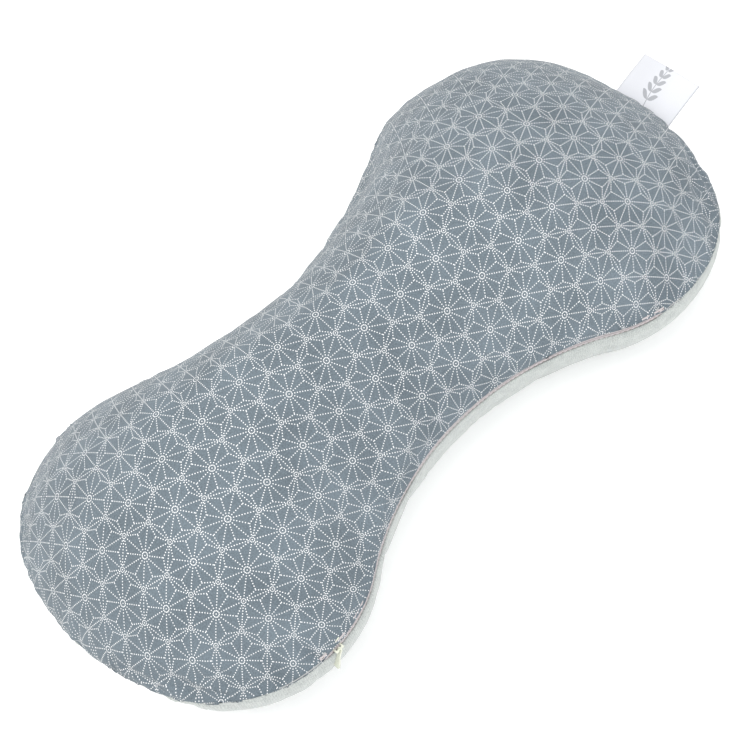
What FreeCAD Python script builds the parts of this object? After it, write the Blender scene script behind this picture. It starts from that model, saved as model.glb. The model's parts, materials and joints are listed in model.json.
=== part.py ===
"""Nursing pillow: a two-lobed cushion in a zipped cover.

Frame: millimetres, +Z up. X runs along the pillow from its near lobe (-X) to its far lobe (+X),
and the deeply hollowed front side, which carries the zip, faces -Y. The origin lies on the flat
underside, below the middle of the waist.

The plan outline is eight tangent arcs: a broad arc at each end, four corner arcs and one hollow
arc along each side of the waist. Every seam, tape and thread follows those arcs at an inset.
"""
import FreeCAD
import Part
import math
import os
import Sketcher

DRIVING = [
    # plan outline
    ("pillow_length", 640), ("near_end_radius", 243), ("near_end_shift", -4),
    ("far_end_radius", 268), ("far_end_shift", 9),
    ("near_front_radius", 108), ("near_front_angle", 26),
    ("near_back_radius", 103), ("near_back_angle", 18),
    ("far_front_radius", 116), ("far_front_angle", 25),
    ("far_back_radius", 106), ("far_back_angle", 18),
    ("front_waist_radius", 229), ("back_waist_radius", 265),
    # heights and the shape of the stuffed cross-section
    ("seam_height", 58), ("near_crown", 90), ("far_crown", 93), ("waist_dip", 9),
    ("near_slope_length", 189), ("far_slope_length", 182), ("slope_power", 2.5), ("slope_root", 1.30),
    ("crown_power", 2.05), ("crown_root", 1.22), ("crown_skew", 0.108),
    ("belly_depth", 91), ("belly_power", 2.2), ("belly_width", 140), ("tip_angle", 5),
    ("seam_lap", 0.3),
    # cloth layers, outside to inside
    ("cover_thickness", 1.4), ("cover_ease", 0.4), ("casing_thickness", 0.8), ("zip_room", 8.2),
    ("thread_inset", 0.4), ("thread_width", 0.6), ("thread_height", 0.8),
    ("casing_thread_inset", 2.05), ("casing_thread_width", 0.3),
    # zip
    ("zip_start_angle", -93), ("zip_finish_angle", -104), ("zip_slot_half", 4.3),
    ("tape_inset", 5.2), ("tape_thickness", 0.6), ("tape_reach", 5.6), ("tape_gap", 1.0),
    ("coil_inset", 3.1), ("coil_depth", 2.0), ("coil_gap", 0.8), ("coil_height", 2.4),
    ("stop_turn", 0.9), ("tack_turn", 1.2),
    # slider and pull
    ("slider_turn", 6), ("slider_half_height", 4),
    ("plate_inset", 1.8), ("plate_thickness", 0.9), ("slider_clearance", 0.4),
    ("web_half_height", 0.45), ("bail_reach", 2.6), ("bail_bar", 1.2), ("bail_half_length", 3.6),
    ("pull_length", 20.5), ("pull_lean", 30), ("pull_eye_radius", 2.0), ("pull_hole_radius", 1.2),
    ("pull_bulb_radius", 3.2), ("pull_thickness", 1.2),
    # labels
    ("label_width", 64), ("label_length", 44), ("label_thickness", 0.6), ("label_tilt", 30),
    ("label_shift", -18), ("label_clearance", 0.6),
    ("gap_past_coil", 0.3), ("gap_past_slider", 0.4), ("cut_past_cloth", 6), ("cut_past_tape", 0.6),
    ("care_width", 22), ("care_height", 10.5), ("care_thickness", 0.4), ("care_inset", 6.9),
]

STATIONS = 30
ACROSS = 16
LEVELS = 5

# Cutting blocks reach this far past the pillow, upwards, endways and sideways.
ABOVE_EVERYTHING = 400
BEYOND_ENDS = 400
BEYOND_SIDES = 300

doc = FreeCAD.newDocument("NursingPillow")
V = FreeCAD.Vector


def fill_sheet():
    """Put every driving dimension in the sheet, one to a row, with its alias."""
    sheet = doc.addObject("Spreadsheet::Sheet", "Dimensions")
    for row, (name, value) in enumerate(DRIVING, start=1):
        sheet.set("A%d" % row, name)
        sheet.set("B%d" % row, str(value))
        sheet.setAlias("B%d" % row, name)
    doc.recompute()
    return sheet


dims = fill_sheet()


def size(name):
    """One driving dimension, read back from the sheet."""
    return float(getattr(dims, name))


# ---------------------------------------------------------------- plan outline

class Arc:
    """One arc of the outline. A hollow arc has the pillow outside its circle."""

    def __init__(self, name, centre, hollow=False):
        self.name = name
        self.centre = centre
        self.radius = size(name)
        self.hollow = hollow
        self.first = 0.0
        self.last = 0.0

    def radius_at(self, inset):
        """Radius of the parallel arc that lies an inset inside the pillow."""
        return self.radius + inset if self.hollow else self.radius - inset

    def point(self, angle, inset=0.0):
        """Point of the parallel arc at an angle in degrees."""
        turn = math.radians(angle)
        reach = self.radius_at(inset)
        return V(self.centre.x + reach * math.cos(turn), self.centre.y + reach * math.sin(turn), 0)

    def angle_to(self, point):
        """Angle in degrees from the centre to a point."""
        return math.degrees(math.atan2(point.y - self.centre.y, point.x - self.centre.x))

    def height_at(self, x, upper):
        """Y of the circle at x, on its upper or lower half."""
        rise = math.sqrt(max(0.0, self.radius ** 2 - (x - self.centre.x) ** 2))
        return self.centre.y + (rise if upper else -rise)


def end_arc(name, side):
    """The broad arc at one end: side -1 is near, +1 is far."""
    x = side * (size("pillow_length") / 2 - size(name + "_radius"))
    return Arc(name + "_radius", V(x, size(name + "_shift"), 0))


def corner_arc(name, end, x_side, y_side):
    """A corner arc, tangent to its end arc on the inside at the corner's angle."""
    reach = end.radius - size(name + "_radius")
    turn = math.radians(size(name + "_angle"))
    centre = end.centre + V(x_side * reach * math.cos(turn), y_side * reach * math.sin(turn), 0)
    return Arc(name + "_radius", centre)


def waist_arc(name, left, right, y_side):
    """The hollow arc tangent to two corner arcs, its centre outside the pillow."""
    radius = size(name + "_radius")
    span = right.centre - left.centre
    distance = span.Length
    to_left = radius + left.radius
    to_right = radius + right.radius
    along = (to_left ** 2 - to_right ** 2 + distance ** 2) / (2 * distance)
    away = math.sqrt(to_left ** 2 - along ** 2)
    direction = span.normalize()
    across = V(-direction.y, direction.x, 0)
    return Arc(name + "_radius", left.centre + direction * along + across * (y_side * away), True)


near_end = end_arc("near_end", -1)
far_end = end_arc("far_end", 1)
near_front = corner_arc("near_front", near_end, -1, -1)
near_back = corner_arc("near_back", near_end, -1, 1)
far_front = corner_arc("far_front", far_end, 1, -1)
far_back = corner_arc("far_back", far_end, 1, 1)
front_waist = waist_arc("front_waist", near_front, far_front, -1)
back_waist = waist_arc("back_waist", near_back, far_back, 1)

# anticlockwise from the corner where the zip starts
OUTLINE = [near_front, front_waist, far_front, far_end, far_back, back_waist, near_back, near_end]


def join_arcs():
    """Give each arc its first and last angle, in the order in which the outline runs."""
    for arc, following in zip(OUTLINE, OUTLINE[1:] + OUTLINE[:1]):
        larger, smaller = (arc, following) if arc.radius > following.radius else (following, arc)
        if arc.hollow or following.hollow:
            line = following.centre - arc.centre
            joint = arc.centre + line.normalize() * arc.radius
        else:
            line = smaller.centre - larger.centre
            joint = larger.centre + line.normalize() * larger.radius
        arc.last = arc.angle_to(joint)
        following.first = following.angle_to(joint)
    for arc in OUTLINE:
        if arc.hollow and arc.last > arc.first:
            arc.first += 360
        if not arc.hollow and arc.last < arc.first:
            arc.last += 360


join_arcs()


def side_height(x, ends, arcs, upper):
    """Y of the outline at x on one side, from the arc that covers x."""
    reaches = [arcs[0].point(arcs[0].first if upper is False else arcs[0].last).x,
               arcs[0].point(arcs[0].last if upper is False else arcs[0].first).x,
               arcs[2].point(arcs[2].first if upper is False else arcs[2].last).x,
               arcs[2].point(arcs[2].last if upper is False else arcs[2].first).x]
    if x < reaches[0]:
        return ends[0].height_at(x, upper)
    if x < reaches[1]:
        return arcs[0].height_at(x, upper)
    if x < reaches[2]:
        return arcs[1].height_at(x, not upper)
    if x < reaches[3]:
        return arcs[2].height_at(x, upper)
    return ends[1].height_at(x, upper)


def front_edge(x):
    return side_height(x, (near_end, far_end), (near_front, front_waist, far_front), False)


def back_edge(x):
    return side_height(x, (near_end, far_end), (near_back, back_waist, far_back), True)


# ---------------------------------------------------------------- stuffed body

def smooth(value):
    """Smooth step from 0 to 1."""
    value = min(1.0, max(0.0, value))
    return value * value * (3 - 2 * value)


def crown_curve(angle, inset):
    """One arch of the stuffed crown, front seam to back seam, at a station angle.

    The station's x is the half length times minus the cosine of its angle. The crown rises as
    (1 - |v|^crown_power)^(1/crown_root) over the width, v running from -1 to 1, with its ridge
    moved sideways by the skew.
    """
    half = size("pillow_length") / 2
    x = -(half - inset) * math.cos(angle)
    x_outline = -half * math.cos(angle)
    front = front_edge(x_outline) + inset
    back = back_edge(x_outline) - inset
    near_left = max(0.0, 1 - (x + half - inset) / size("near_slope_length"))
    far_left = max(0.0, 1 - (half - inset - x) / size("far_slope_length"))
    power = size("slope_power")
    slope = ((1 - near_left ** power) * (1 - far_left ** power)) ** (1 / size("slope_root"))
    near_top = -half + size("near_slope_length")
    far_top = half - size("far_slope_length")
    along = min(1.0, max(0.0, (x - near_top) / (far_top - near_top)))
    crown = size("near_crown") + (size("far_crown") - size("near_crown")) * smooth(along)
    crown = (crown - size("waist_dip") * math.sin(math.pi * along) ** 2 - inset) * slope
    skew = size("crown_skew")
    base = size("seam_height") - size("seam_lap")
    points = []
    for step in range(ACROSS + 1):
        v = -math.cos(math.pi * step / ACROSS)
        moved = (v - skew) / (1 - skew if v > skew else 1 + skew)
        share = max(0.0, 1 - abs(moved) ** size("crown_power")) ** (1 / size("crown_root"))
        y = (front + back) / 2 + v * (back - front) / 2
        points.append(V(x, y, base + (crown + size("seam_lap")) * share))
    arch = Part.BSplineCurve()
    arch.interpolate(Points=points, Parameters=[step / ACROSS for step in range(ACROSS + 1)])
    return Part.Wire([arch.toShape(), Part.makeLine(points[-1], points[0])])


def crown_solid(inset):
    """The stuffed body above the seam, cut square just short of its two tips.

    The arches start a little below the seam and are cut off level with it.
    """
    first = math.radians(size("tip_angle"))
    turn = (math.pi - 2 * first) / STATIONS
    arches = [crown_curve(first + turn * station, inset) for station in range(STATIONS + 1)]
    dome = positive(Part.makeLoft(arches, True, False))
    return dome.common(slab(size("seam_height"), ABOVE_EVERYTHING))


def positive(solid):
    """The same solid, turned the right way out."""
    if solid.Volume < 0:
        solid.reverse()
    return solid


def outline_wire(inset, height):
    """The eight-arc outline at an inset and a height."""
    edges = []
    for arc in OUTLINE:
        angles = (arc.first, (arc.first + arc.last) / 2, arc.last)
        points = [arc.point(angle, inset) + V(0, 0, height) for angle in angles]
        edges.append(Part.Arc(*points).toShape())
    return Part.Wire(edges)


def belly_solid(inset):
    """The stuffed body below the seam: parallel outlines that draw in towards the flat underside.

    At a depth below the seam the outline is drawn in by
    belly_width * (1 - (1 - (depth / belly_depth)^2)^(1 / belly_power)).
    """
    seam = size("seam_height")
    wires = []
    for level in range(LEVELS + 1):
        depth = seam * level / LEVELS
        side = (1 - (depth / size("belly_depth")) ** 2) ** (1 / size("belly_power"))
        drawn_in = size("belly_width") * (1 - side)
        height = seam - depth * (seam - inset) / seam
        wires.append(outline_wire(inset + drawn_in, height))
    return positive(Part.makeLoft(wires, True, False))


def slab(low, high):
    """A block wider than the pillow between two heights."""
    return Part.makeBox(2 * BEYOND_ENDS, 2 * BEYOND_SIDES, high - low, V(-BEYOND_ENDS, -BEYOND_SIDES, low))


def put(label, shape):
    """Add a soft sub-part whose shape is worked out here, with its own label."""
    item = doc.addObject("Part::Feature", label)
    item.Label = label
    item.Shape = shape
    item.Placement = FreeCAD.Placement()
    return item


# ---------------------------------------------------------------- strips along the seam

START = size("zip_start_angle")
FINISH = size("zip_finish_angle")
TACK = size("tack_turn")
STOP = size("stop_turn")
COIL_GAP = size("gap_past_coil")
ZIP_PATH = [(near_front, START, near_front.last),
            (front_waist, front_waist.first, front_waist.last),
            (far_front, far_front.first, FINISH)]


def origin_plane(body, role):
    """A plane of the body's own origin."""
    return [item for item in body.Origin.OriginFeatures if item.Role == role][0]


def new_sketch(body, name, role="XY_Plane"):
    sketch = body.newObject("Sketcher::SketchObject", name)
    sketch.AttachmentSupport = [(origin_plane(body, role), "")]
    sketch.MapMode = "FlatFace"
    return sketch


def add_run(sketch, path, inset, inset_words, backwards):
    """Add one side of a strip: an arc for each arc of its path, radii bound to the sheet.

    Returns the sketch points, as (geometry, end) pairs, where the run starts and finishes.
    """
    ends = []
    for arc, first, last in (reversed(path) if backwards else path):
        low, high = min(first, last), max(first, last)
        circle = Part.Circle(arc.centre, V(0, 0, 1), arc.radius_at(inset))
        index = sketch.addGeometry(Part.ArcOfCircle(circle, math.radians(low), math.radians(high)))
        sign = "+" if arc.hollow else "-"
        limit = sketch.addConstraint(Sketcher.Constraint("Radius", index, arc.radius_at(inset)))
        sketch.setExpression("Constraints[%d]" % limit,
                             "Dimensions.%s %s (%s)" % (arc.name, sign, inset_words))
        rising = (last > first) != backwards
        ends.append(((index, 1), (index, 2)) if rising else ((index, 2), (index, 1)))
    for before, after in zip(ends, ends[1:]):
        sketch.addConstraint(Sketcher.Constraint("Coincident", *before[1], *after[0]))
    return ends[0][0], ends[-1][1]


def strip_body(label, path, insets, bottom, height):
    """A strip that follows the outline: insets and heights are expressions on the sheet."""
    body = doc.addObject("PartDesign::Body", label)
    body.Label = label
    sketch = new_sketch(body, label + "_plan")
    sketch.setExpression("AttachmentOffset.Base.z", bottom)
    outer, inner = [value_of(words) for words in insets]
    start, finish = add_run(sketch, path, outer, insets[0], False)
    back_start, back_finish = add_run(sketch, path, inner, insets[1], True)
    for one, other in ((finish, back_start), (back_finish, start)):
        close_with_line(sketch, one, other)
    pad = body.newObject("PartDesign::Pad", label + "_pad")
    pad.Profile = sketch
    pad.setExpression("Length", height)
    body.Tip = pad
    return body


def close_with_line(sketch, one, other):
    """Join two loose arc ends of a sketch with a straight edge."""
    line = sketch.addGeometry(Part.LineSegment(sketch.getPoint(*one), sketch.getPoint(*other)))
    sketch.addConstraint(Sketcher.Constraint("Coincident", line, 1, *one))
    sketch.addConstraint(Sketcher.Constraint("Coincident", line, 2, *other))


def value_of(words):
    """Value of a sheet expression made of aliases, plus and minus signs."""
    total = 0.0
    sign = 1
    for word in words.split():
        if word in "+-":
            sign = 1 if word == "+" else -1
        elif word.startswith("Dimensions."):
            total += sign * size(word[len("Dimensions."):])
        else:
            total += sign * float(word)
    return total


def strip_shape(path, outer, inner, low, high):
    """The same kind of strip as a bare shape, used as a cutting tool."""
    edges = []
    for inset, run in ((outer, path), (inner, path[::-1])):
        for arc, first, last in run:
            middle = (first + last) / 2
            points = [arc.point(angle, inset) for angle in (first, middle, last)]
            if inset == inner:
                points.reverse()
            edges.append(Part.Arc(*points).toShape())
    first_arc, first_angle = path[0][0], path[0][1]
    last_arc, last_angle = path[-1][0], path[-1][2]
    edges.append(Part.makeLine(first_arc.point(first_angle, outer), first_arc.point(first_angle, inner)))
    edges.append(Part.makeLine(last_arc.point(last_angle, outer), last_arc.point(last_angle, inner)))
    face = Part.Face(Part.Wire(Part.__sortEdges__(edges)))
    solid = face.extrude(V(0, 0, high - low))
    solid.translate(V(0, 0, low))
    return solid


# ---------------------------------------------------------------- cover, casing and filling

def seam_path():
    """The sewn part of the seam: all the way round from the zip's finish to its start."""
    rest = [(arc, arc.first, arc.last) for arc in OUTLINE[3:]]
    clear = 1.5
    return ([(far_front, size("zip_finish_angle") + clear, far_front.last)] + rest
            + [(near_front, near_front.first, size("zip_start_angle") - clear)])


def zip_channel(room):
    """The space behind the zip, as a cutting tool that reaches a given depth into the pillow."""
    seam = size("seam_height")
    spare = size("tape_reach") + room - size("zip_room") + size("cut_past_tape")
    longer = math.degrees((room - size("zip_room") + 2) / size("near_front_radius"))
    path = [(near_front, START - longer, near_front.last), ZIP_PATH[1],
            (far_front, far_front.first, FINISH + longer)]
    return strip_shape(path, -size("cut_past_cloth"), room, seam - spare, seam + spare)


def thread_groove(name):
    """The space that a seam's thread fills, in the top edge of the lower cloth."""
    inset = size(name + "_inset")
    seam = size("seam_height")
    return strip_shape(seam_path(), inset, inset + size(name + "_width"),
                       seam - size("thread_height"), seam)


def make_soft_layers():
    """Cover panels, inner casing halves and filling, each a closed solid of its own."""
    seam = size("seam_height")
    casing_inset = size("cover_thickness") + size("cover_ease")
    filling_inset = casing_inset + size("casing_thickness")
    slot_half = size("zip_slot_half")
    slot = strip_shape(ZIP_PATH, -size("cut_past_cloth"), size("zip_room"),
                       seam - slot_half, seam + slot_half)
    outer_channel = zip_channel(size("zip_room"))
    inner_channel = zip_channel(size("zip_room") + size("casing_thickness"))
    for side, half_solid in (("top", crown_solid), ("bottom", belly_solid)):
        panel = half_solid(0.0).cut(half_solid(size("cover_thickness"))).cut(slot)
        filling = half_solid(filling_inset).cut(inner_channel)
        casing = half_solid(casing_inset).cut(outer_channel).cut(filling)
        if side == "bottom":
            panel = panel.cut(thread_groove("thread"))
            casing = casing.cut(thread_groove("casing_thread"))
        put("cover_%s_panel" % side, panel)
        put("inner_casing_" + side, casing)
        put("filling_" + ("upper" if side == "top" else "lower"), filling)


def make_seam_threads():
    """The threads that join the two cover panels and the two casing halves, but not at the zip."""
    for label, name in (("cover_seam_thread", "thread"), ("inner_casing_seam", "casing_thread")):
        inset = "Dimensions.%s_inset" % name
        strip_body(label, seam_path(), (inset, "%s + Dimensions.%s_width" % (inset, name)),
                   "Dimensions.seam_height - Dimensions.thread_height",
                   "Dimensions.thread_height")


# ---------------------------------------------------------------- zip

def make_zip_strips():
    """Two woven tapes and the two coils sewn to them, one of each above and below the slot."""
    tape = ("Dimensions.tape_inset", "Dimensions.tape_inset + Dimensions.tape_thickness")
    coil = ("Dimensions.coil_inset", "Dimensions.coil_inset + Dimensions.coil_depth")
    tape_height = "Dimensions.tape_reach - Dimensions.tape_gap"
    strip_body("zip_tape_upper", ZIP_PATH, tape,
               "Dimensions.seam_height + Dimensions.tape_gap", tape_height)
    strip_body("zip_tape_lower", ZIP_PATH, tape,
               "Dimensions.seam_height - Dimensions.tape_reach", tape_height)
    strip_body("zip_coil_upper", COIL_PATH, coil,
               "Dimensions.seam_height + Dimensions.coil_gap", "Dimensions.coil_height")
    strip_body("zip_coil_lower", COIL_PATH, coil,
               "Dimensions.seam_height - Dimensions.coil_gap - Dimensions.coil_height",
               "Dimensions.coil_height")


COIL_PATH = [(near_front, START + TACK + STOP + COIL_GAP, near_front.last), ZIP_PATH[1],
             (far_front, far_front.first, FINISH - TACK - STOP - COIL_GAP)]


def make_zip_ends():
    """Metal stops at both ends of the coils, and the bar tacks that close the slot."""
    near_stop = [(near_front, START + TACK, START + TACK + STOP)]
    far_stop = [(far_front, FINISH - TACK - STOP, FINISH - TACK)]
    depth = ("Dimensions.coil_inset", "Dimensions.coil_inset + Dimensions.coil_depth")
    strip_body("zip_stop_upper", near_stop, depth,
               "Dimensions.seam_height + Dimensions.coil_gap", "Dimensions.coil_height")
    strip_body("zip_stop_lower", near_stop, depth,
               "Dimensions.seam_height - Dimensions.coil_gap - Dimensions.coil_height",
               "Dimensions.coil_height")
    strip_body("zip_stop_far", far_stop, depth,
               "Dimensions.seam_height - Dimensions.coil_gap - Dimensions.coil_height",
               "2 * (Dimensions.coil_gap + Dimensions.coil_height)")
    tack = ("Dimensions.cover_thickness", "Dimensions.tape_inset")
    low = "Dimensions.seam_height - Dimensions.zip_slot_half"
    strip_body("zip_tack_near", [(near_front, START, START + TACK)], tack, low,
               "2 * Dimensions.zip_slot_half")
    strip_body("zip_tack_far", [(far_front, FINISH - TACK, FINISH)], tack, low,
               "2 * Dimensions.zip_slot_half")


def slider_angle():
    """Angle on the near front corner of the slider's middle when the zip is closed."""
    return START + TACK + STOP + COIL_GAP + size("slider_turn") / 2 + size("gap_past_slider")


def slider_place():
    """The slider's frame: origin at the corner's centre, +X out through the slider."""
    centre = near_front.centre + V(0, 0, size("seam_height"))
    return FreeCAD.Placement(centre, FreeCAD.Rotation(V(0, 0, 1), slider_angle()))


def add_polygon(sketch, points):
    """A closed outline of straight edges, joined at its corners."""
    first = None
    for start, end in zip(points, points[1:] + points[:1]):
        edge = sketch.addGeometry(Part.LineSegment(V(*start, 0), V(*end, 0)))
        if first is None:
            first = edge
        else:
            sketch.addConstraint(Sketcher.Constraint("Coincident", edge - 1, 2, edge, 1))
    sketch.addConstraint(Sketcher.Constraint("Coincident", edge, 2, first, 1))


def make_slider():
    """Slider: an outer and an inner plate on one web, turned about the corner, and its bail."""
    body = doc.addObject("PartDesign::Body", "zip_slider_body")
    body.Label = "zip_slider_body"
    radius = size("near_front_radius")
    outer_out = radius - size("plate_inset")
    outer_in = outer_out - size("plate_thickness")
    inner_out = radius - size("tape_inset") - size("tape_thickness") - size("slider_clearance")
    inner_in = inner_out - size("plate_thickness")
    tall = size("slider_half_height")
    web = size("web_half_height")
    profile = new_sketch(body, "slider_section", "XZ_Plane")
    add_polygon(profile, [(outer_out, -tall), (outer_out, tall), (outer_in, tall), (outer_in, web),
                          (inner_out, web), (inner_out, tall), (inner_in, tall), (inner_in, -tall),
                          (inner_out, -tall), (inner_out, -web), (outer_in, -web),
                          (outer_in, -tall)])
    turned = body.newObject("PartDesign::Revolution", "slider_plates")
    turned.Profile = profile
    turned.ReferenceAxis = ([item for item in body.Origin.OriginFeatures if item.Role == "Z_Axis"][0],
                            [""])
    turned.setExpression("Angle", "Dimensions.slider_turn")
    turned.Midplane = True
    bail = new_sketch(body, "bail_plan")
    bar = size("bail_bar")
    half = size("bail_half_length")
    foot = outer_out - size("plate_thickness") / 2
    top = radius + size("bail_reach") + bar / 2
    add_polygon(bail, [(foot, -half), (top, -half), (top, half), (foot, half), (foot, half - bar),
                       (top - bar, half - bar), (top - bar, bar - half), (foot, bar - half)])
    arch = body.newObject("PartDesign::Pad", "slider_bail")
    arch.Profile = bail
    arch.setExpression("Length", "Dimensions.bail_bar")
    arch.Midplane = True
    body.Tip = arch
    body.Placement = slider_place()
    return body


def make_pull():
    """Teardrop pull: an eye and a bulb joined by tangents, hung by its eye on the bail."""
    body = doc.addObject("PartDesign::Body", "zip_pull_tab")
    body.Label = "zip_pull_tab"
    eye = size("pull_eye_radius")
    bulb = size("pull_bulb_radius")
    length = size("pull_length")
    taper = math.asin((bulb - eye) / length)
    outline = new_sketch(body, "pull_outline", "XZ_Plane")
    arcs = []
    for height, radius, first, last in ((0, eye, -taper, math.pi + taper),
                                        (-length, bulb, math.pi + taper, 2 * math.pi - taper)):
        circle = Part.Circle(V(0, height, 0), V(0, 0, 1), radius)
        arcs.append(outline.addGeometry(Part.ArcOfCircle(circle, first, last)))
    for arc, name in zip(arcs, ("pull_eye_radius", "pull_bulb_radius")):
        limit = outline.addConstraint(Sketcher.Constraint("Radius", arc, size(name)))
        outline.setExpression("Constraints[%d]" % limit, "Dimensions." + name)
    close_with_line(outline, (arcs[0], 2), (arcs[1], 1))
    close_with_line(outline, (arcs[1], 2), (arcs[0], 1))
    hole = outline.addGeometry(Part.Circle(V(0, 0, 0), V(0, 0, 1), size("pull_hole_radius")))
    limit = outline.addConstraint(Sketcher.Constraint("Radius", hole, size("pull_hole_radius")))
    outline.setExpression("Constraints[%d]" % limit, "Dimensions.pull_hole_radius")
    pad = body.newObject("PartDesign::Pad", "pull_plate")
    pad.Profile = outline
    pad.setExpression("Length", "Dimensions.pull_thickness")
    pad.Midplane = True
    body.Tip = pad
    place = slider_place()
    reach = size("near_front_radius") + size("bail_reach")
    lean = FreeCAD.Rotation(V(1, 0, 0), -size("pull_lean"))
    body.Placement = place.multiply(FreeCAD.Placement(V(reach, 0, 0), lean))
    return body


# ---------------------------------------------------------------- labels

def label_root():
    """Where the side label leaves the seam: a frame with +X out of the pillow and +Y along it."""
    angle = math.degrees(math.asin((size("label_shift") - far_end.centre.y) / far_end.radius))
    foot = far_end.point(angle, -size("label_clearance"))
    foot.z = size("seam_height")
    return FreeCAD.Placement(foot, FreeCAD.Rotation(V(0, 0, 1), angle))


def make_labels():
    """The folded side label that stands out of the far lobe's seam, and the hidden care label."""
    label = doc.addObject("Part::Box", "side_label")
    label.Label = "side_label"
    label.setExpression("Length", "Dimensions.label_length")
    label.setExpression("Width", "Dimensions.label_width")
    label.setExpression("Height", "Dimensions.label_thickness")
    tilt = FreeCAD.Placement(V(0, 0, 0), FreeCAD.Rotation(V(0, 1, 0), -size("label_tilt")))
    centred = FreeCAD.Placement(V(0, -size("label_width") / 2, -size("label_thickness") / 2),
                                FreeCAD.Rotation())
    label.Placement = label_root().multiply(tilt).multiply(centred)
    care = doc.addObject("Part::Box", "care_label")
    care.Label = "care_label"
    care.setExpression("Length", "Dimensions.care_width")
    care.setExpression("Width", "Dimensions.care_thickness")
    care.setExpression("Height", "Dimensions.care_height")
    behind = front_waist.point(90, size("care_inset"))
    care.Placement = FreeCAD.Placement(
        V(-size("care_width") / 2, behind.y, size("seam_height") - size("care_height") / 2),
        FreeCAD.Rotation())


# ---------------------------------------------------------------- check and write

def parts_to_write():
    """Every finished sub-part: the bodies, the boxes and the worked-out soft shapes."""
    kinds = ("PartDesign::Body", "Part::Box", "Part::Feature")
    return [item for item in doc.Objects if item.TypeId in kinds]


def check_and_write():
    for item in doc.Objects:
        if "Invalid" in item.State or "Error" in item.State:
            raise RuntimeError("%s failed: %s" % (item.Name, item.State))
    os.makedirs("parts", exist_ok=True)
    for item in parts_to_write():
        if item.Shape.isNull() or not item.Shape.isValid():
            raise RuntimeError("%s has no valid shape" % item.Label)
        item.Shape.exportStep("parts/%s.step" % item.Label)
        print("%-20s solids %d volume %11.1f" % (item.Label, len(item.Shape.Solids), item.Shape.Volume))


def print_joints():
    """The joint axes, for the behaviour that goes with the part."""
    place = slider_place()
    bail = place.multVec(V(size("near_front_radius") + size("bail_reach"), 0, 0))
    along = place.Rotation.multVec(V(0, 1, 0))
    root = label_root()
    print("slider axis at", near_front.centre, "up, travel",
          near_front.last - slider_angle() - size("slider_turn") / 2)
    print("pull axis at", bail, "along", along)
    print("label axis at", root.Base, "along", root.Rotation.multVec(V(0, 1, 0)))


make_soft_layers()
make_seam_threads()
make_zip_strips()
make_zip_ends()
make_slider()
make_pull()
make_labels()
doc.recompute()
check_and_write()
print_joints()
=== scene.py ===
import json
import math

import bmesh
import bpy
import numpy as np
from bpy.props import FloatProperty, FloatVectorProperty, IntProperty, PointerProperty
from mathutils import Matrix, Vector


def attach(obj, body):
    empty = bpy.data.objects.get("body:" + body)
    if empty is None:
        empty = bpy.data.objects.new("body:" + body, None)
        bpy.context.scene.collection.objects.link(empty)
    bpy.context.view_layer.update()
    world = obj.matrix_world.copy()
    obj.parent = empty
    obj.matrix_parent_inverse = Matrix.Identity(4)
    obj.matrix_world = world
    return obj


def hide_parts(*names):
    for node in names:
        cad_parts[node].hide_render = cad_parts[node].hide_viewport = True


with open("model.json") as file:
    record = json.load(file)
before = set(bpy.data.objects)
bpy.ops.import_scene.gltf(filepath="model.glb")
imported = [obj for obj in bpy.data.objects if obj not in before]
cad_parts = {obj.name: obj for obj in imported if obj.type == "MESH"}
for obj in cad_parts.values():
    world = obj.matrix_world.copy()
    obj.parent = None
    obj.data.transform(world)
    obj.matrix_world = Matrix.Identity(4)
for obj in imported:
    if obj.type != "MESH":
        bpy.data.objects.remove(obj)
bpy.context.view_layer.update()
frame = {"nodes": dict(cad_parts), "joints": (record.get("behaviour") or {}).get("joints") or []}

bl_info = {
    "name": "Nursing pillow",
    "blender": (4, 5, 0),
    "version": (1, 0, 0),
    "location": "View3D > Sidebar > Pillow",
    "description": "Makes a printed nursing pillow with a jersey underside, a hidden zip and a side label",
    "category": "Add Mesh",
}

NODES = frame["nodes"]
JOINTS = {joint["name"]: joint for joint in frame["joints"]}

# The sewn outline, in metres: two end arcs, four corner arcs and two hollow waists, seen from above.
HALF = 0.320
NEAR_END = (0.243, -0.004)
FAR_END = (0.268, 0.009)
SIDES = {
    -1: {"near": (0.108, 26.0), "far": (0.116, 25.0), "waist": 0.229},
    1: {"near": (0.103, 18.0), "far": (0.106, 18.0), "waist": 0.265},
}
SEAM_HEIGHT = 0.058

# The stuffed height over the seam: its crest falls away at both ends and dips a little at the waist.
NEAR_CREST = 0.090
FAR_CREST = 0.093
WAIST_DIP = 0.009
NEAR_SLOPE = 0.189
FAR_SLOPE = 0.182
SLOPE_POWER = 2.5
SLOPE_ROOT = 1.30
CROWN_POWER = 2.05
CROWN_ROOT = 1.22
RIDGE = 0.108

# The underside: it turns under from the seam and lies flat on what it rests on.
BELLY_DEPTH = 0.091
BELLY_WIDTH = 0.140
BELLY_POWER = 2.2

# The print, as shares of the distance between stars: step of the stitches, the ring round each centre,
# and where a short ray forks.
STITCH_PITCH = 0.0526
HUB_RADIUS = 0.059
BEND = 0.4
# How much of a stitch's step is left clear inside the ring, and where a dot's ink starts and stops thinning,
# as shares of its radius.
HUB_CLEAR = 0.4
DOT_EDGE = (0.82, 1.12)

# The angles on the two front corner arcs at which the zip starts and ends, in degrees.
ZIP_ENDS = (-93.0, -104.0)
ZIP_PAST_END = 0.004
# The edge of a zip tape: distance in from the seam, and height off the middle of the gap.
TAPE_PROFILE = (
    (0.0018, 0.0036),
    (0.0012, 0.0027),
    (0.0009, 0.0018),
    (0.00095, 0.0011),
    (0.0013, 0.0008),
    (0.0017, 0.0008),
)
TAPE_THICK = 0.0004
TAPE_STEPS = 320

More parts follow.
